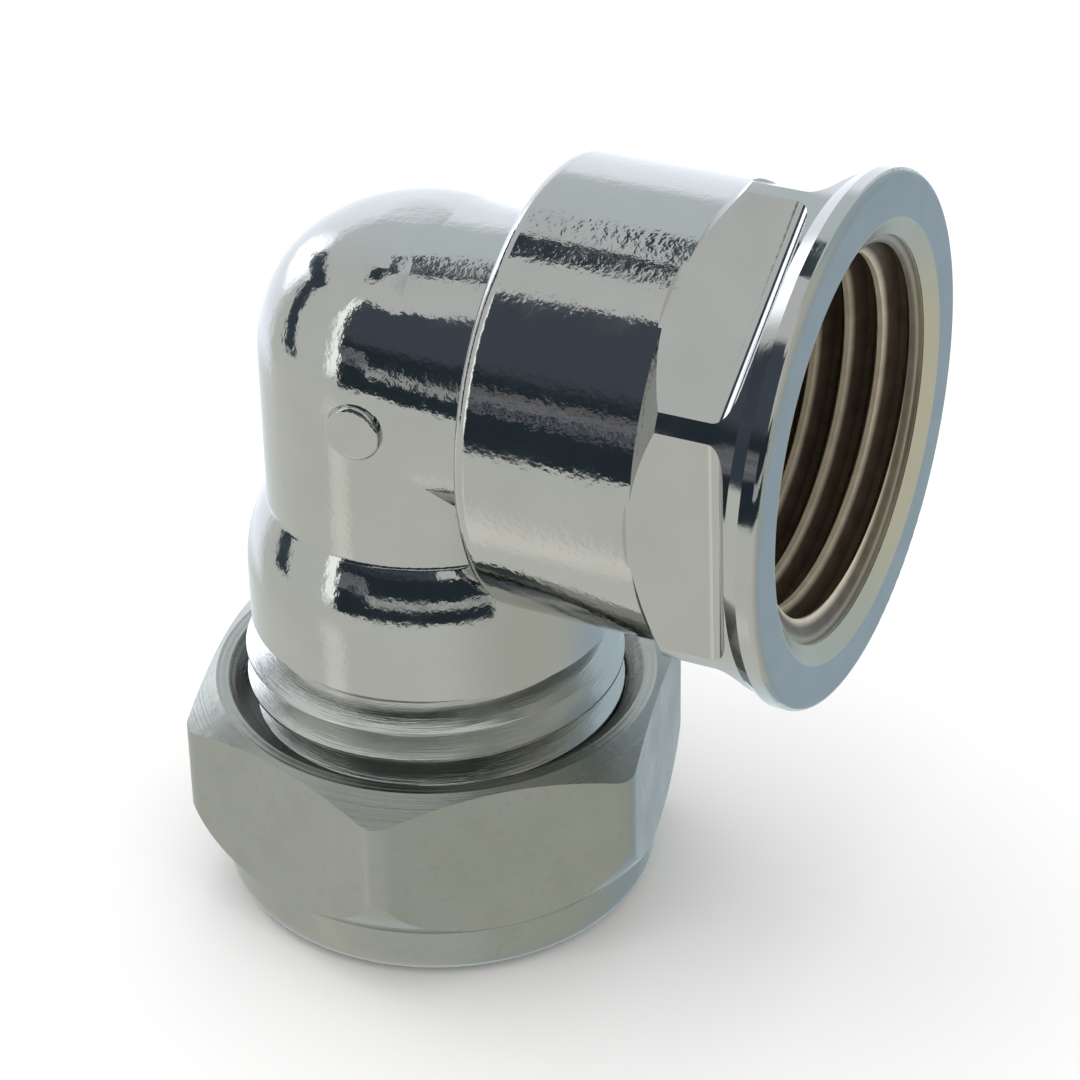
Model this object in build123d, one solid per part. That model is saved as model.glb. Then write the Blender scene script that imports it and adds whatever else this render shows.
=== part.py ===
from build123d import *
import math
import os

# Compression elbow: a 15 mm tube goes into the leg that points down, and the socket that
# points along +X has a G 1/2 female thread. All sizes are in millimetres.
# The origin is the centre of the ledge that the tube's end stops against. +Z is up the leg
# and +X is the axis of the threaded socket. The two axes cross at (0, 0, CENTRE_Z).

# Standard sizes
PITCH = 25.4 / 14                 # G 1/2: 14 threads to the inch
THREAD_MAJOR_R = 20.955 / 2
THREAD_MINOR_R = 18.631 / 2
FLANK_ANGLE = 27.5                # half of the 55 degree thread form

# Elbow
CENTRE_Z = 12.6                   # from the tube stop up to the crossing of the axes
WATERWAY_R = 6.5
LEG_R = 8.75                      # round leg that points down
ARM_R = 7.95                      # arm that points along +X, up from its axis
ARM_START = (1.0, 8.66, 7.91, 2.38)   # along +X, half width, half height, fullness (2 = ellipse)
ARM_MIDDLE = (4.0, 8.44, 7.97, 2.15)
ARM_END = (8.25, 8.05, 8.05, 2.0)     # inside the back of the socket
CORNER_POWER = 2.4                # above 2 the outer corner is fuller than an ellipse
SWELL_TOP = 8.1                   # below the crossing, where the leg starts to swell
SWELL_LEAN = 33.0                 # of the swelling's top edge, from the leg's side
SWELL_CORNER_ROUND = 0.45
COLLAR_R = 10.0
COLLAR_END = 15.5                 # below the crossing, where the collar steps to the thread
MALE_END = 25.2                   # below the crossing, the mouth of the leg
MALE_OUTER_R = 10.40
MALE_ROOT_R = 9.16
MALE_START = 15.9                 # where the first thread rises from the root
MALE_CHAMFER = 0.8

# Tube socket inside the leg
TUBE_SOCKET_R = 7.55
CONE_R = 8.78                     # wide end of the cone that the olive is pressed into
CONE_DEPTH = 2.35

# Threaded socket, distances along +X from the leg's axis
SOCKET_BACK = 7.25
SOCKET_R = 12.0
SOCKET_BACK_ROUND = 0.9
HEX_START = 17.0                  # foot of the cone behind the hexagon
HEX_FLAT = 11.85                  # half the width across the flats
HEX_CORNER_R = 13.4               # the corners are turned round to this radius
HEX_TURN = 2.7                    # lean of the top corner towards the front
FLAT_START = 16.8
FLAT_END = 21.1                   # where the flats begin to curve up to the rim
FLAT_END_R = 1.2
RIM_R = 13.85
RIM_START = 23.6
RIM_FACE = 24.36
RIM_ROUND = 0.45
TRIM_TURN = 147.3                 # from the front: the corner that is trimmed lower
TRIM_R = 12.85
TRIM_END = 19.2
CHAMFER_R = 11.4
CHAMFER_ANGLE = 60.0              # of the mouth chamfer, from the axis
STEP_R = 10.5                     # fine turned step in the mouth chamfer
STEP_DEPTH = 0.08
THREAD_TOP = 23.6
THREAD_BOTTOM = 11.9
SOCKET_ROOT_FLAT = 0.34
SOCKET_CREST = 12.3               # a crest of the socket's thread, facing down
TAPPING_BOTTOM = 9.8

# Raised oval on the side of the elbow
PIP_WIDTH = 3.1
PIP_HEIGHT = 3.1
PIP_PROUD = 0.3
PIP_DROP = 0.25                   # below the crossing
PIP_TURN = -88.0                  # direction about the leg, from +X

# Nut, heights below the crossing
NUT_TOP = 19.85
NUT_FLAT = 12.5                   # half the width across the flats
NUT_EDGE_ROUND = 1.6
NUT_TURN = -77.6                  # direction of one corner, from +X
NUT_RING_R = 12.2                 # flat ring on top, inside the chamfer
NUT_CHAMFER_ANGLE = 30.0
NUT_MOUTH_R = 11.5
NUT_MOUTH_DEPTH = 1.65
DOME_START = 24.3
DOME_END = 29.1
DOME_END_R = 12.25
BAND_R = 12.1
NUT_BOTTOM = 32.25
BAND_ROUND = 1.45
NUT_HOLE_R = 7.65
NUT_ROOT_R = 10.54
NUT_CREST_R = 9.34
NUT_THREAD_END = 26.6
NUT_RELIEF_END = 28.2

# Olive, heights below the crossing
OLIVE_BORE_R = 7.56
OLIVE_R = 8.70
OLIVE_END_R = 7.86
OLIVE_TOP = 23.95
OLIVE_BOTTOM = 30.1
OLIVE_TOP_CONE = 1.60
OLIVE_BOTTOM_CONE = 1.10
SEAT_GAP = 0.03                   # between the olive's lower cone and the nut's seat

# Thread of the leg and the nut
CREST_DROP = 16.89                # a crest of the leg's thread in the +X direction
FLANK_PLAY = 0.12                 # gap along the axis at each flank
MALE_ROOT_FLAT = 0.36
RIDGE_BITE = 0.1                  # how far a thread's ridge is sunk into its wall


def level(drop):
    """Height of a point this far below the crossing of the axes."""
    return CENTRE_Z - drop


def turned(points):
    """Solid turned about Z from (radius, height) points."""
    outline = Polyline(*[(r, 0, z) for r, z in points], close=True)
    return revolve(make_face(outline), Axis.Z)


def along_x(shape):
    """Turns a shape built about Z so that its axis is the socket's axis."""
    return Pos(0, 0, CENTRE_Z) * Rot(0, 90, 0) * shape


def helical_bar(narrow_r, wide_r, flat, start, height):
    """Helical bar about Z with a thread's section: narrow at narrow_r, wide at wide_r."""
    reach = wide_r - narrow_r
    half_flat = flat / 2
    half_wide = half_flat + math.tan(math.radians(FLANK_ANGLE)) * abs(reach)
    path = Helix(PITCH, height, narrow_r, center=(0, 0, start))
    section = Plane(origin=path @ 0, x_dir=(1, 0, 0), z_dir=path % 0)
    form = Polyline(
        (0, -half_flat), (reach, -half_wide), (reach, half_wide), (0, half_flat), close=True
    )
    return sweep(section * make_face(form), path=path, is_frenet=True)


def thread_ridge(crest_r, root_r, root_flat, crest_height, low, high):
    """Helical ridge about Z from low to high; a crest faces +X at crest_height."""
    lean = math.tan(math.radians(FLANK_ANGLE)) * abs(root_r - crest_r)
    crest_flat = PITCH - root_flat - 2 * lean
    wall_r = root_r + math.copysign(RIDGE_BITE, root_r - crest_r)
    turns = math.ceil((crest_height - low) / PITCH) + 1
    start = crest_height - turns * PITCH
    bar = helical_bar(crest_r, wall_r, crest_flat, start, high - start + PITCH)
    near = min(crest_r, wall_r) - 0.2
    far = max(crest_r, wall_r) + 0.2
    return bar & turned([(near, low), (far, low), (far, high), (near, high)])


def corner_points():
    """Outline of the rounded corner, from the side of the leg to the top of the arm."""
    steps = 8
    points = []
    for i in range(steps + 1):
        angle = math.pi / 2 * i / steps
        r = LEG_R * max(math.cos(angle), 0) ** (2 / CORNER_POWER)
        z = ARM_R * math.sin(angle) ** (2 / CORNER_POWER)
        points.append((r, z))
    points[-1] = (0, ARM_R)
    return points


def corner_skin():
    """Rounded top of the leg."""
    top = Spline(*[(r, 0, z) for r, z in corner_points()], tangents=[(0, 0, 1), (-1, 0, 0)])
    base = Polyline((0, 0, ARM_R), (0, 0, 0), (LEG_R, 0, 0))
    dome = revolve(make_face(Wire([top, *base.edges()])), Axis.Z)
    return Pos(0, 0, CENTRE_Z) * dome


def arm_section(x, half_width, half_height, power):
    """Cross-section of the arm at a distance x from the leg's axis."""
    count = 24
    points = []
    for i in range(count):
        angle = 2 * math.pi * i / count
        across = math.copysign(abs(math.cos(angle)) ** (2 / power), math.cos(angle))
        rise = math.copysign(abs(math.sin(angle)) ** (2 / power), math.sin(angle))
        points.append((x, half_width * across, CENTRE_Z + half_height * rise))
    return make_face(Spline(*points, periodic=True))


def arm_skin():
    """Short arm that runs from the rounded corner, as wide as the leg, to a round end."""
    return loft([arm_section(*ARM_START), arm_section(*ARM_MIDDLE), arm_section(*ARM_END)])


def leg_skin():
    """Leg with its swelling and collar, and the core of the male thread."""
    lean = math.radians(SWELL_LEAN)
    bend_r = (COLLAR_R - LEG_R) / (1 - math.cos(lean))
    swell_end = SWELL_TOP + bend_r * math.sin(lean)
    half_r = COLLAR_R - bend_r * (1 - math.cos(lean / 2))
    half_drop = swell_end - bend_r * math.sin(lean / 2)
    top = (LEG_R, 0, level(SWELL_TOP))
    end = (COLLAR_R, 0, level(swell_end))
    swell = ThreePointArc(top, (half_r, 0, level(half_drop)), end)
    rest = Polyline(
        end,
        (COLLAR_R, 0, level(COLLAR_END)),
        (MALE_ROOT_R, 0, level(COLLAR_END)),
        (MALE_ROOT_R, 0, level(MALE_END)),
        (0, 0, level(MALE_END)),
        (0, 0, level(0)),
        (LEG_R, 0, level(0)),
        top,
    )
    leg = revolve(make_face(Wire([swell, *rest.edges()])), Axis.Z)
    rings = leg.edges().filter_by(GeomType.CIRCLE)
    corner = [e for e in rings if abs(e.center().Z - level(SWELL_TOP)) < 0.01]
    return fillet(corner, SWELL_CORNER_ROUND)


def flat_cutter():
    """Cutter for one flat of the socket, which curves up steeply before the rim."""
    rise = FLAT_END_R * (1 - math.cos(math.radians(68)))
    run = FLAT_END_R * math.sin(math.radians(68))
    middle_rise = FLAT_END_R * (1 - math.cos(math.radians(34)))
    middle_run = FLAT_END_R * math.sin(math.radians(34))
    outside = RIM_R + 2
    top = (HEX_FLAT + rise, FLAT_END + run)
    middle = (HEX_FLAT + middle_rise, FLAT_END + middle_run)
    curve = ThreePointArc((HEX_FLAT, FLAT_END), middle, top)
    wall = FLAT_END + run + (outside - HEX_FLAT - rise) / math.tan(math.radians(68))
    rest = Polyline(
        top, (outside, wall), (outside, FLAT_START - 3), (HEX_FLAT + 1, FLAT_START - 1),
        (HEX_FLAT, FLAT_START), (HEX_FLAT, FLAT_END),
    )
    profile = Plane.YZ * make_face(Wire([curve, *rest.edges()]))
    return extrude(profile, RIM_R, both=True)


def corner_trim():
    """Cutter that lowers one corner of the hexagon; the cut runs out towards the rim."""
    ring = turned([
        (TRIM_R, HEX_START),
        (TRIM_R, TRIM_END),
        (HEX_CORNER_R, TRIM_END + 2.4),
        (RIM_R + 2, TRIM_END + 2.4),
        (RIM_R + 2, HEX_START),
    ])
    wedge = Pos(RIM_R, 0, RIM_FACE / 2) * Box(RIM_R, RIM_R, RIM_FACE)
    return Rot(0, 0, -90 - TRIM_TURN) * (ring & wedge)


def socket_skin():
    """Round socket with its hexagon and rim, about Z."""
    flare_end = RIM_START - 0.3
    outline = Polyline(
        (0, 0, SOCKET_BACK),
        (SOCKET_R, 0, SOCKET_BACK),
        (SOCKET_R, 0, HEX_START),
        (HEX_CORNER_R, 0, HEX_START + HEX_CORNER_R - SOCKET_R),
        (HEX_CORNER_R, 0, flare_end - 0.8),
        (RIM_R, 0, flare_end),
        (RIM_R, 0, RIM_FACE),
        (0, 0, RIM_FACE),
        close=True,
    )
    blank = revolve(make_face(outline), Axis.Z)
    rings = blank.edges().filter_by(GeomType.CIRCLE)
    back = [e for e in rings if e.center().Z < SOCKET_BACK + 0.1]
    rim = [e for e in rings if e.center().Z > RIM_FACE - 0.1]
    blank = fillet(back, SOCKET_BACK_ROUND).fillet(RIM_ROUND, rim)
    for i in range(6):
        blank -= Rot(0, 0, 60 * i + HEX_TURN) * flat_cutter()
    return blank - corner_trim()


def socket_bore():
    """Everything removed from the threaded socket, about Z."""
    slope = 1 / math.tan(math.radians(CHAMFER_ANGLE))
    step_z = RIM_FACE - (CHAMFER_R - STEP_R) * slope
    inner_z = step_z - STEP_DEPTH - (STEP_R - THREAD_MINOR_R) * slope
    return turned([
        (0, RIM_FACE + 1),
        (CHAMFER_R, RIM_FACE + 1),
        (CHAMFER_R, RIM_FACE),
        (STEP_R, step_z),
        (STEP_R, step_z - STEP_DEPTH),
        (THREAD_MINOR_R, inner_z),
        (THREAD_MINOR_R, TAPPING_BOTTOM),
        (WATERWAY_R, TAPPING_BOTTOM - 1.2),
        (0, TAPPING_BOTTOM - 1.2),
    ])


def socket_thread():
    """Thread of the socket, about Z, up to the mouth chamfer."""
    ridge = thread_ridge(
        THREAD_MINOR_R, THREAD_MAJOR_R, SOCKET_ROOT_FLAT, SOCKET_CREST,
        THREAD_BOTTOM, THREAD_TOP,
    )
    return ridge - socket_bore()


def waterway():
    """Passage from the tube stop up to the crossing and out to the threaded socket."""
    low = -1.0
    up = Pos(0, 0, low) * Cylinder(WATERWAY_R, CENTRE_Z - low, align=BASE)
    out = Cylinder(WATERWAY_R, TAPPING_BOTTOM, align=BASE)
    return up + Pos(0, 0, CENTRE_Z) * Sphere(WATERWAY_R) + along_x(out)


BASE = (Align.CENTER, Align.CENTER, Align.MIN)


def tube_socket():
    """Hole for the tube with the cone for the olive at its mouth."""
    return turned([
        (0, 0),
        (TUBE_SOCKET_R, 0),
        (TUBE_SOCKET_R, level(MALE_END - CONE_DEPTH)),
        (CONE_R, level(MALE_END)),
        (CONE_R, level(MALE_END + 1)),
        (0, level(MALE_END + 1)),
    ])


def male_thread():
    """Thread of the leg, chamfered at both ends."""
    ridge = thread_ridge(
        MALE_OUTER_R, MALE_ROOT_R, MALE_ROOT_FLAT, level(CREST_DROP),
        level(MALE_END), level(MALE_START),
    )
    depth = MALE_OUTER_R + 0.2 - MALE_ROOT_R
    return ridge & turned([
        (MALE_ROOT_R - 0.5, level(MALE_START)),
        (MALE_ROOT_R, level(MALE_START)),
        (MALE_ROOT_R + depth, level(MALE_START + depth)),
        (MALE_ROOT_R + depth, level(MALE_END - MALE_CHAMFER - 0.2)),
        (MALE_OUTER_R - MALE_CHAMFER, level(MALE_END)),
        (MALE_ROOT_R - 0.5, level(MALE_END)),
    ])


def pip():
    """Plain raised oval on the side of the elbow."""
    oval = extrude(Ellipse(PIP_WIDTH / 2, PIP_HEIGHT / 2), LEG_R + PIP_PROUD)
    oval = fillet(oval.faces().sort_by(Axis.Z)[-1].edges(), PIP_PROUD * 0.8)
    return Pos(0, 0, level(PIP_DROP)) * Rot(0, 0, PIP_TURN) * Rot(0, 90, 0) * Rot(0, 0, 90) * oval


def elbow_body():
    skin = corner_skin() + arm_skin() + leg_skin() + along_x(socket_skin()) + pip()
    root = Pos(0, 0, THREAD_BOTTOM) * Cylinder(THREAD_MAJOR_R, RIM_FACE, align=BASE)
    body = skin - tube_socket() - waterway() - along_x(socket_bore() + root)
    return body + along_x(socket_thread()) + male_thread()


def nut_blank():
    """Outside of the nut as a turned blank crossed with a hexagonal bar."""
    reach = NUT_FLAT / math.cos(math.radians(30))
    slope = math.tan(math.radians(NUT_CHAMFER_ANGLE))
    dome = TangentArc(
        (reach, 0, level(DOME_START)), (DOME_END_R, 0, level(DOME_END)), tangent=(0, 0, -1)
    )
    rest = Polyline(
        (DOME_END_R, 0, level(DOME_END)),
        (BAND_R, 0, level(DOME_END)),
        (BAND_R, 0, level(NUT_BOTTOM)),
        (0, 0, level(NUT_BOTTOM)),
        (0, 0, level(NUT_TOP)),
        (NUT_RING_R, 0, level(NUT_TOP)),
        (reach, 0, level(NUT_TOP) - (reach - NUT_RING_R) * slope),
        (reach, 0, level(DOME_START)),
    )
    blank = revolve(make_face(Wire([dome, *rest.edges()])), Axis.Z)
    foot = blank.edges().filter_by(GeomType.CIRCLE).sort_by(Axis.Z)[0]
    blank = fillet(foot, BAND_ROUND)
    corner = RegularPolygon(reach, 6, rotation=NUT_TURN)
    outline = fillet(corner.vertices(), NUT_EDGE_ROUND)
    bar = Pos(0, 0, level(NUT_BOTTOM + 1)) * extrude(outline, NUT_BOTTOM)
    return blank & bar


def nut_bore():
    """Plain hole through the nut: root of the thread, olive seat and tube hole."""
    seat_slope = (OLIVE_R - OLIVE_END_R) / OLIVE_BOTTOM_CONE
    seat_start = OLIVE_BOTTOM + SEAT_GAP + (OLIVE_END_R - NUT_HOLE_R) / seat_slope
    seat_end_r = 9.1
    seat_end = seat_start - (seat_end_r - NUT_HOLE_R) / seat_slope
    return turned([
        (0, level(NUT_TOP - 1)),
        (NUT_ROOT_R, level(NUT_TOP - 1)),
        (NUT_ROOT_R, level(NUT_RELIEF_END)),
        (seat_end_r, level(seat_end)),
        (NUT_HOLE_R, level(seat_start)),
        (NUT_HOLE_R, level(NUT_BOTTOM + 1)),
        (0, level(NUT_BOTTOM + 1)),
    ])


def nut_mouth():
    """Cone that opens the nut's thread at the top."""
    return turned([
        (0, level(NUT_TOP - 1)),
        (NUT_MOUTH_R, level(NUT_TOP - 1)),
        (NUT_MOUTH_R, level(NUT_TOP)),
        (NUT_CREST_R - 0.2, level(NUT_TOP + NUT_MOUTH_DEPTH)),
        (0, level(NUT_TOP + NUT_MOUTH_DEPTH)),
    ])


def nut_thread():
    """Thread of the nut; its crests lie between the crests of the leg's thread."""
    overlap = math.tan(math.radians(FLANK_ANGLE)) * (NUT_ROOT_R - MALE_ROOT_R) * 2
    root_flat = PITCH + 2 * FLANK_PLAY - overlap - MALE_ROOT_FLAT
    return thread_ridge(
        NUT_CREST_R, NUT_ROOT_R, root_flat, level(CREST_DROP + PITCH / 2),
        level(NUT_THREAD_END), level(NUT_TOP),
    )


def compression_nut():
    return nut_blank() - nut_bore() + nut_thread() - nut_mouth()


def olive():
    return turned([
        (OLIVE_BORE_R, level(OLIVE_TOP)),
        (OLIVE_END_R, level(OLIVE_TOP)),
        (OLIVE_R, level(OLIVE_TOP + OLIVE_TOP_CONE)),
        (OLIVE_R, level(OLIVE_BOTTOM - OLIVE_BOTTOM_CONE)),
        (OLIVE_END_R, level(OLIVE_BOTTOM)),
        (OLIVE_BORE_R, level(OLIVE_BOTTOM)),
    ])


def save(name, shape):
    solids = shape.solids()
    print(name, len(solids), "solid, valid", shape.is_valid, "volume", round(shape.volume, 1))
    export_step(shape, "parts/" + name + ".step")


os.makedirs("parts", exist_ok=True)
save("elbow_body", elbow_body())
save("compression_nut", compression_nut())
save("olive", olive())
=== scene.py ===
"""Compression elbow fitting: finishes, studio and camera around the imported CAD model.

Lengths are in metres, in the CAD frame: +Z up the leg, +X out of the threaded socket.
"""

import math

import bpy
from mathutils import Matrix, Vector


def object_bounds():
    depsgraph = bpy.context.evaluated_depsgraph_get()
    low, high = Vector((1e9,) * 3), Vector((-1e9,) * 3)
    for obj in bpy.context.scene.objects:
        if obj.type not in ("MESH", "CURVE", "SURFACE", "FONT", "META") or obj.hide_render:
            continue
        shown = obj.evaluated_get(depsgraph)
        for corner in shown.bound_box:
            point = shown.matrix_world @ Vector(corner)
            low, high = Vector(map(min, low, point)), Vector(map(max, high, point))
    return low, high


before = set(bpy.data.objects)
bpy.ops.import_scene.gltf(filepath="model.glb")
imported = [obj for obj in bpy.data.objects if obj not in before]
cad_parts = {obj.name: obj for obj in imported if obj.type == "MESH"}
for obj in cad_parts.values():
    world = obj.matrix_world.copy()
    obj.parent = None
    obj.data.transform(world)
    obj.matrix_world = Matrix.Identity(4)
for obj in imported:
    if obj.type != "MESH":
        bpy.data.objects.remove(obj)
cad_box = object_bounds()

MM = 0.001
SOCKET_AXIS_Z = 12.6 * MM
MOUTH_R = 11.45 * MM            # between the countersink and the flat rim
THREAD_TOP = 23.6 * MM          # along the socket
COLLAR_FOOT = -3.0 * MM         # where the leg's collar ends and its thread begins
FLOOR_Z = cad_box[0].z - 0.02 * MM

# camera: where it stands, which way it looks (degrees) and how it leans
CAMERA_AT = (0.07921, -0.15134, 0.10681)
CAMERA_TURN = -26.45
CAMERA_DIP = 32.48
CAMERA_ROLL = -1.57
CAMERA_LENS = 123.8
CAMERA_SHIFT = (0.0389, 0.0383)


class Nodes:
    """Short calls that build one node tree. A value is a number, a tuple or another node's output."""

    def __init__(self, tree):
        self.tree = tree
        tree.nodes.clear()

    def new(self, kind, **settings):
        node = self.tree.nodes.new(kind)
        for name, value in settings.items():
            setattr(node, name, value)
        return node

    def put(self, socket, value):
        if isinstance(value, bpy.types.NodeSocket):
            self.tree.links.new(value, socket)
        elif value is not None:
            socket.default_value = value

    def math(self, operation, a, b=None, c=None):
        node = self.new("ShaderNodeMath", operation=operation)
        for socket, value in zip(node.inputs, (a, b, c)):
            self.put(socket, value)
        return node.outputs[0]

    def less(self, a, b):
        return self.math("SUBTRACT", a, b)

    def larger(self, *values):
        most = values[0]
        for value in values[1:]:
            most = self.math("MAXIMUM", most, value)
        return most

    def step(self, value, low, high, start=0.0, end=1.0):
        """Smooth change from start to end while value goes from low to high."""
        node = self.new("ShaderNodeMapRange", interpolation_type="SMOOTHSTEP")
        for socket, v in zip(node.inputs, (value, low, high, start, end)):
            self.put(socket, v)
        return node.outputs[0]

    def both(self, *masks):
        total = masks[0]
        for mask in masks[1:]:
            total = self.math("MULTIPLY", total, mask)
        return total

    def fall(self, value, low, high):
        """Mask that is 1 up to low and 0 from high on."""
        return self.step(value, low, high, 1.0, 0.0)

    def within(self, value, low, high, soft):
        """Mask that is 1 between low and high, with soft edges."""
        return self.both(self.step(value, low - soft, low + soft), self.fall(value, high - soft, high + soft))

    def blend(self, mask, a, b):
        node = self.new("ShaderNodeMix", data_type="RGBA")
        self.put(node.inputs[0], mask)
        for socket, colour in ((node.inputs[6], a), (node.inputs[7], b)):
            self.put(socket, (*colour, 1) if isinstance(colour, tuple) else colour)
        return node.outputs[2]

    def noise(self, at, scale, detail=2.0, roughness=0.5):
        node = self.new("ShaderNodeTexNoise")
        self.put(node.inputs["Vector"], at)
        for name, value in (("Scale", scale), ("Detail", detail), ("Roughness", roughness)):
            node.inputs[name].default_value = value
        return node.outputs["Fac"]

    def split(self, vector):
        node = self.new("ShaderNodeSeparateXYZ")
        self.put(node.inputs[0], vector)
        return node.outputs[0], node.outputs[1], node.outputs[2]

    def join(self, x, y, z):
        node = self.new("ShaderNodeCombineXYZ")
        for socket, value in zip(node.inputs, (x, y, z)):
            self.put(socket, value)
        return node.outputs[0]

    def radius(self, a, b):
        squares = self.math("ADD", self.math("MULTIPLY", a, a), self.math("MULTIPLY", b, b))
        return self.math("SQRT", squares)

    def bump(self, height, distance, normal=None):
        node = self.new("ShaderNodeBump")
        node.inputs["Strength"].default_value = 1.0
        node.inputs["Distance"].default_value = distance
        self.put(node.inputs["Height"], height)
        self.put(node.inputs["Normal"], normal)
        return node.outputs[0]


def metal(name):
    """New metal material: its node helper, its shader and its object coordinates."""
    material = bpy.data.materials.new(name)
    material.use_nodes = True
    n = Nodes(material.node_tree)
    shader = n.new("ShaderNodeBsdfPrincipled")
    shader.inputs["Metallic"].default_value = 1.0
    output = n.new("ShaderNodeOutputMaterial")
    n.put(output.inputs[0], shader.outputs[0])
    place = n.new("ShaderNodeTexCoord").outputs["Object"]
    return material, n, shader, place


def wear(material, object_name):
    """Give one CAD node its finish."""
    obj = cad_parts[object_name]
    obj.data.materials.clear()
    obj.data.materials.append(material)


def ring_lines(n, radius, along, pitch):
    """Fine turning lines: noise drawn out round an axis, from the radius and the place along it."""
    at = n.join(n.math("DIVIDE", radius, pitch), n.math("DIVIDE", along, pitch), 0.35)
    return n.noise(at, 1.0, 3.0, 0.6)


def elbow_places(n, x, z, socket_r, leg_r):
    """Masks of the elbow's turned and threaded places."""
    mouth = n.both(n.step(x, 17 * MM, 17.3 * MM), n.fall(socket_r, MOUTH_R, MOUTH_R + 0.1 * MM))
    # the socket's threaded bore: chrome_body paints it near-black as shade, with brass crests over it
    shaded_thread = n.both(n.fall(x, THREAD_TOP - 0.15 * MM, THREAD_TOP + 0.15 * MM), n.step(x, 8 * MM, 9 * MM),
                  n.fall(socket_r, 10.52 * MM, 10.6 * MM))
    crest = n.both(shaded_thread, n.fall(socket_r, 9.35 * MM, 9.75 * MM))
    rim = n.both(n.step(x, 24.2 * MM, 24.3 * MM), n.step(socket_r, MOUTH_R - 0.05 * MM, MOUTH_R + 0.05 * MM))
    male = n.fall(z, COLLAR_FOOT - 0.1 * MM, COLLAR_FOOT + 0.1 * MM)
    leg_inside = n.both(n.fall(leg_r, 7.7 * MM, 7.9 * MM), n.fall(z, 6 * MM, 7 * MM))
    return mouth, shaded_thread, crest, rim, male, leg_inside


def chrome_body():
    """Bright chrome with orange peel on the cast skin; turned rim, countersink and threads, with the socket
    thread's grooves painted near-black as shade.
    """
    material, n, shader, place = metal("bright_chrome")
    x, y, z = n.split(place)
    socket_r = n.radius(y, n.less(z, SOCKET_AXIS_Z))
    leg_r = n.radius(x, y)
    mouth, shaded_thread, crest, rim, male, leg_inside = elbow_places(n, x, z, socket_r, leg_r)

    skin = n.blend(n.noise(place, 260.0, 3.0), (0.425, 0.43, 0.41), (0.475, 0.48, 0.465))
    skin = n.blend(mouth, skin, (0.60, 0.565, 0.46))
    thread_mottle = n.noise(place, 900.0, 4.0)
    # painted shade: the threaded bore is coloured near-black, as the shade deep in the thread grooves
    skin = n.blend(shaded_thread, skin, n.blend(thread_mottle, (0.05, 0.038, 0.026), (0.16, 0.12, 0.085)))
    skin = n.blend(crest, skin, n.blend(thread_mottle, (0.55, 0.47, 0.34), (0.92, 0.83, 0.65)))
    skin = n.blend(rim, skin, (0.40, 0.425, 0.43))
    skin = n.blend(leg_inside, skin, (0.42, 0.35, 0.22))
    skin = n.blend(male, skin, (0.60, 0.61, 0.59))
    n.put(shader.inputs["Base Color"], skin)
    n.put(shader.inputs["Metallic"], n.step(shaded_thread, 0.0, 1.0, 1.0, 0.45))

    turned = n.larger(mouth, rim, male, leg_inside)
    rough = n.step(n.noise(place, 420.0, 2.0), 0.35, 0.7, 0.055, 0.11)
    rough = n.math("ADD", rough, n.math("MULTIPLY", turned, 0.14))
    rough = n.math("ADD", rough, n.math("MULTIPLY", n.larger(rim, mouth), 0.08))
    n.put(shader.inputs["Roughness"], rough)

    flats = n.both(n.step(x, 16.8 * MM, 17.6 * MM), n.step(socket_r, 11.6 * MM, 11.8 * MM))
    smooth = n.step(n.larger(turned, flats), 0.0, 1.0, 1.0, 0.2)
    peel = n.math("MULTIPLY", n.noise(place, 2300.0, 2.0, 0.55), smooth)
    round_leg = ring_lines(n, leg_r, z, 0.09 * MM)
    round_socket = ring_lines(n, socket_r, x, 0.09 * MM)
    lines = n.blend(n.step(x, 9 * MM, 10 * MM), round_leg, round_socket)
    normal = n.bump(peel, 0.013 * MM)
    normal = n.bump(n.math("MULTIPLY", lines, turned), 0.02 * MM, normal)
    n.put(shader.inputs["Normal"], normal)
    return material


def satin_nut():
    """Satin chrome: faint orange peel on the flats, turning lines on the cone and in the mouth, whose inside
    is painted darker as shade.
    """
    material, n, shader, place = metal("satin_chrome")
    x, y, z = n.split(place)
    leg_r = n.radius(x, y)
    across = n.math("ABSOLUTE", n.split(n.new("ShaderNodeTexCoord").outputs["Normal"])[2])
    turned = n.both(n.step(across, 0.55, 0.75), n.step(z, -12 * MM, -11 * MM))
    shaded_inside = n.fall(leg_r, 11.3 * MM, 11.6 * MM)

    tone = n.noise(place, 330.0, 4.0, 0.6)
    specks = n.noise(place, 2600.0, 2.0)
    skin = n.blend(n.step(tone, 0.3, 0.7), (0.335, 0.345, 0.315), (0.375, 0.385, 0.355))
    skin = n.blend(n.step(specks, 0.55, 0.75, 0.0, 0.25), skin, (0.27, 0.28, 0.24))
    # painted shade: the inside of the nut's mouth is coloured darker
    skin = n.blend(shaded_inside, skin, (0.24, 0.24, 0.22))
    n.put(shader.inputs["Base Color"], skin)
    n.put(shader.inputs["Roughness"], n.step(tone, 0.3, 0.7, 0.26, 0.36))

    lines = n.math("MULTIPLY", ring_lines(n, leg_r, z, 0.16 * MM), n.larger(turned, shaded_inside))
    normal = n.bump(n.noise(place, 1500.0, 3.0, 0.6), 0.02 * MM)
    n.put(shader.inputs["Normal"], n.bump(lines, 0.05 * MM, normal))
    return material


def turned_brass():
    """Brass of the olive, with turning lines and a dull film."""
    material, n, shader, place = metal("turned_brass")
    x, y, z = n.split(place)
    tone = n.noise(place, 500.0, 4.0, 0.6)
    skin = n.blend(n.step(tone, 0.3, 0.7), (0.66, 0.46, 0.18), (0.83, 0.64, 0.32))
    n.put(shader.inputs["Base Color"], skin)
    n.put(shader.inputs["Roughness"], n.step(tone, 0.3, 0.7, 0.2, 0.34))
    n.put(shader.inputs["Normal"], n.bump(ring_lines(n, n.radius(x, y), z, 0.12 * MM), 0.03 * MM))
    return material


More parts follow.
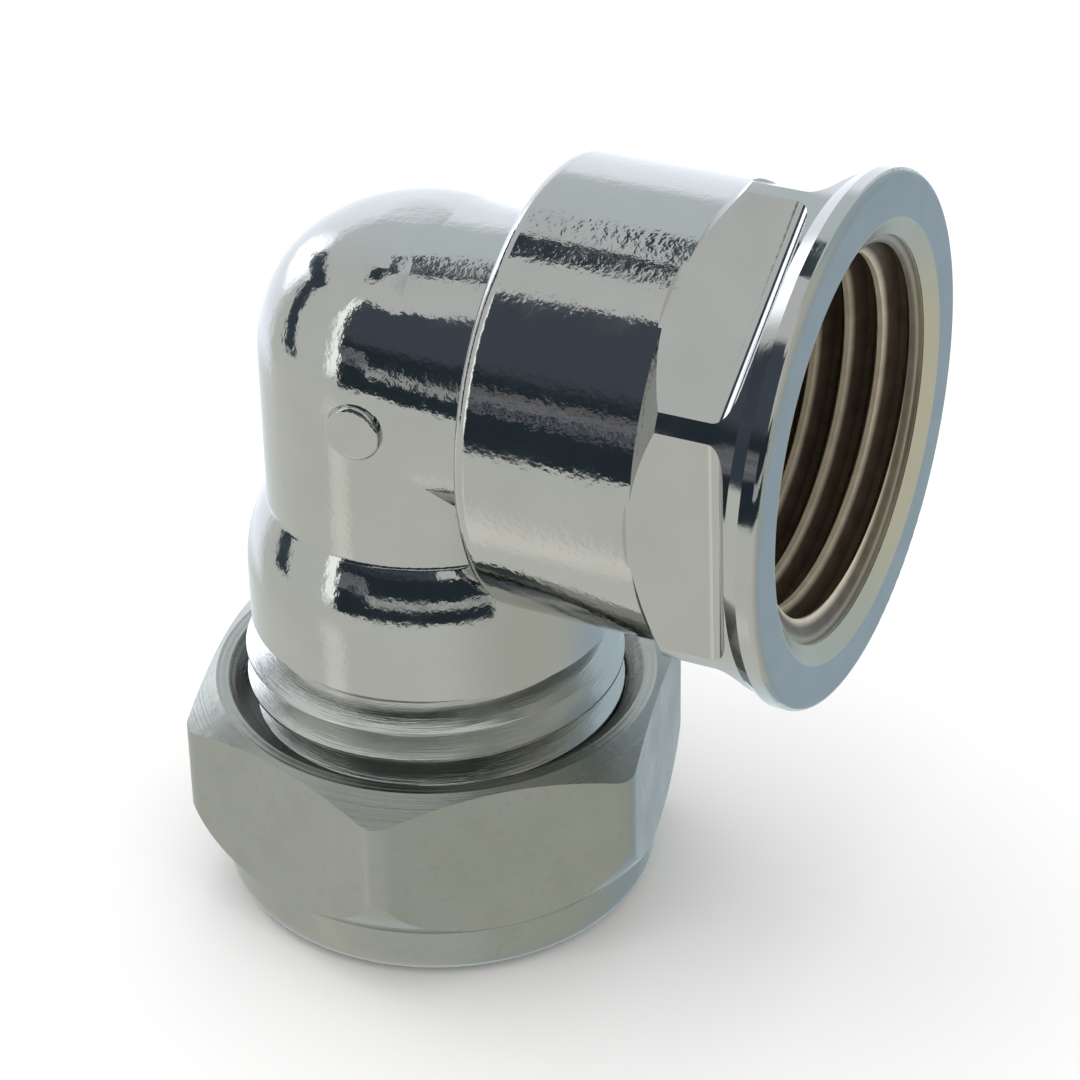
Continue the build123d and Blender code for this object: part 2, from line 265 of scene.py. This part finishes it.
def studio_floor():
    """Wide pale floor at the nut's foot."""
    mesh = bpy.data.meshes.new("studio_floor")
    half = 1.5
    sides = ((-half, -half), (half, -half), (half, half), (-half, half))
    corners = [(x, y, FLOOR_Z) for x, y in sides]
    mesh.from_pydata(corners, [], [(0, 1, 2, 3)])
    floor = bpy.data.objects.new("studio_floor", mesh)
    bpy.context.scene.collection.objects.link(floor)
    material = bpy.data.materials.new("studio_floor")
    material.use_nodes = True
    n = Nodes(material.node_tree)
    shader = n.new("ShaderNodeBsdfDiffuse")
    place = n.new("ShaderNodeTexCoord").outputs["Object"]
    n.put(shader.inputs[0], n.blend(n.noise(place, 2.0), (0.93, 0.93, 0.925), (0.95, 0.95, 0.945)))
    output = n.new("ShaderNodeOutputMaterial")
    n.put(output.inputs[0], shader.outputs[0])
    mesh.materials.append(material)
    floor.visible_glossy = False


def open_sky(n, turn, rise):
    """Pale surround: warmer to the right, bluer behind, with a bright window at the left."""
    sky = n.blend(n.step(rise, -40.0, 60.0), (0.86, 0.87, 0.83), (0.85, 0.87, 0.87))
    sky = n.blend(n.fall(turn, -150.0, -100.0), sky, (0.84, 0.93, 0.97))
    sky = n.blend(n.step(turn, 25.0, 80.0), sky, (0.70, 0.71, 0.64))
    sky = n.blend(n.step(turn, 100.0, 145.0), sky, (0.52, 0.63, 0.71))
    sky = n.blend(n.step(rise, 72.0, 84.0), sky, (0.66, 0.70, 0.68))
    window = n.both(n.within(turn, -166.0, -101.0, 7.0), n.within(rise, -26.0, 27.0, 5.0))
    sky = n.blend(window, sky, (1.35, 1.42, 1.55))
    core = n.both(n.within(turn, -127.0, -103.0, 6.0), n.within(rise, 5.0, 26.0, 5.0))
    sky = n.blend(core, sky, (2.5, 2.65, 2.9))
    stripe = n.both(n.within(turn, -46.0, -32.0, 5.0), n.within(rise, -60.0, -24.0, 8.0))
    return n.blend(stripe, sky, (1.12, 1.10, 1.02))


def front_card(n, sky, turn, rise):
    """Wide dark card in front, lit along its left edge, with a paler strip across it."""
    left = n.step(rise, 0.0, 62.0, -33.0, -48.0)
    right = n.step(rise, 20.0, 26.0, 62.0, 30.0)
    beyond = n.less(turn, left)
    lit_edge = n.both(n.within(beyond, -8.0, 0.0, 2.0), n.within(rise, -6.0, 55.0, 5.0))
    sky = n.blend(lit_edge, sky, (1.75, 1.8, 1.75))
    card = n.both(n.step(beyond, -1.5, 1.5), n.fall(n.less(turn, right), -2.0, 2.0),
                  n.within(rise, -11.5, 59.5, 1.2))
    dark = n.blend(n.step(rise, 21.0, 30.0), (0.030, 0.045, 0.058), (0.085, 0.105, 0.135))
    sky = n.blend(card, sky, dark)

    # the strip is wide, mauve and broken at the left, and narrow, low and pale at the right
    start, end = -17.0, -11.0
    strip_at = n.step(turn, start, end, 12.5, 3.8)
    strip_half = n.step(turn, start, end, 5.5, 3.4)
    in_strip = n.fall(n.less(n.math("ABSOLUTE", n.less(rise, strip_at)), strip_half), -1.0, 1.0)
    blotch = n.noise(n.join(turn, rise, 0.0), 0.11, 3.0, 0.6)
    whole = n.larger(n.step(blotch, 0.36, 0.48), n.step(turn, start, end, 0.0, 0.85))
    speckle = n.step(n.noise(n.join(turn, rise, 4.0), 0.45, 4.0, 0.65), 0.4, 0.6)
    mauve = n.blend(speckle, (0.17, 0.15, 0.145), (0.27, 0.29, 0.35))
    pale = n.blend(speckle, (0.40, 0.42, 0.42), (0.80, 0.83, 0.82))
    strip = n.blend(n.step(turn, start, end), mauve, pale)
    return n.blend(n.both(card, in_strip, whole), sky, strip)


def overhead_card(n, sky, turn, rise):
    """Narrow dark card high up at the left, with a tail that bends down behind."""
    card = n.both(n.within(rise, 62.0, 69.2, 0.8), n.within(turn, -113.0, -84.0, 2.5))
    tail_foot = n.step(turn, -158.0, -112.0, 51.5, 68.2)
    tail = n.both(n.within(n.less(rise, tail_foot), 0.0, 4.5, 0.6), n.within(turn, -142.0, -106.0, 2.0))
    return n.blend(n.larger(card, tail), sky, (0.050, 0.070, 0.090))


def side_card(n, sky, turn, rise):
    """Dark card at the left, shaped like a hook: an upright stroke and one across its top."""
    across_at = n.step(turn, -117.0, -92.0, 27.0, 34.0)
    across = n.both(n.within(n.less(rise, across_at), -5.0, 5.0, 1.5), n.within(turn, -117.0, -85.0, 1.5))
    upright_at = n.step(rise, -10.0, 36.0, -76.0, -92.0)
    upright = n.both(n.within(n.less(turn, upright_at), -6.5, 6.5, 1.5), n.within(rise, -10.0, 37.0, 1.5))
    return n.blend(n.larger(across, upright), sky, (0.06, 0.08, 0.11))


def studio_surround():
    """Soft white surround with the dark cards that chrome needs to show its shape.

    Places on it are in degrees: the turn from -Y towards +X, and the rise above level. Only
    reflections see the cards; the camera and the soft light see plain white.
    """
    world = bpy.data.worlds.new("studio")
    bpy.context.scene.world = world
    world.use_nodes = True
    n = Nodes(world.node_tree)
    x, y, z = n.split(n.new("ShaderNodeTexCoord").outputs["Generated"])
    degree = math.pi / 180
    turn = n.math("DIVIDE", n.math("ARCTAN2", x, n.math("MULTIPLY", y, -1.0)), degree)
    rise = n.math("DIVIDE", n.math("ARCSINE", z), degree)
    sky = open_sky(n, turn, rise)
    for card in (front_card, overhead_card, side_card):
        sky = card(n, sky, turn, rise)

    rays = n.new("ShaderNodeLightPath").outputs
    plain = n.larger(rays["Is Camera Ray"], rays["Is Diffuse Ray"])
    background = n.new("ShaderNodeBackground")
    n.put(background.inputs[0], n.blend(plain, sky, (1.0, 1.0, 1.0)))
    output = n.new("ShaderNodeOutputWorld")
    n.put(output.inputs[0], background.outputs[0])


def soft_light(name, at, towards, size, power, colour):
    """Round soft light that shows in no reflection."""
    data = bpy.data.lights.new(name, "AREA")
    data.shape = "DISK"
    data.size = size
    data.energy = power
    data.color = colour
    light = bpy.data.objects.new(name, data)
    bpy.context.scene.collection.objects.link(light)
    light.location = at
    light.rotation_euler = (Vector(towards) - Vector(at)).to_track_quat("-Z", "Y").to_euler()
    light.visible_glossy = False


def camera():
    """Camera at the viewing angle set above."""
    turn, dip, roll = (math.radians(a) for a in (CAMERA_TURN, CAMERA_DIP, CAMERA_ROLL))
    ahead = Vector((math.sin(turn) * math.cos(dip), math.cos(turn) * math.cos(dip), -math.sin(dip)))
    level = Vector((math.cos(turn), -math.sin(turn), 0))
    above = level.cross(ahead)
    right = math.cos(roll) * level + math.sin(roll) * above
    up = math.cos(roll) * above - math.sin(roll) * level
    data = bpy.data.cameras.new("camera")
    data.lens = CAMERA_LENS
    data.sensor_width = 36
    data.shift_x, data.shift_y = CAMERA_SHIFT
    data.clip_start = 0.005
    cam = bpy.data.objects.new("camera", data)
    bpy.context.scene.collection.objects.link(cam)
    turned = Matrix((right, up, -ahead)).transposed().to_4x4()
    cam.matrix_world = Matrix.Translation(CAMERA_AT) @ turned
    bpy.context.scene.camera = cam


wear(chrome_body(), "elbow_body")
wear(satin_nut(), "compression_nut")
wear(turned_brass(), "olive")
studio_floor()
studio_surround()
soft_light("key", (-0.10, -0.05, 0.6), (0, 0, 0), 0.6, 1.0, (1.0, 0.99, 0.97))
camera()
bpy.context.scene.view_settings.view_transform = "Standard"
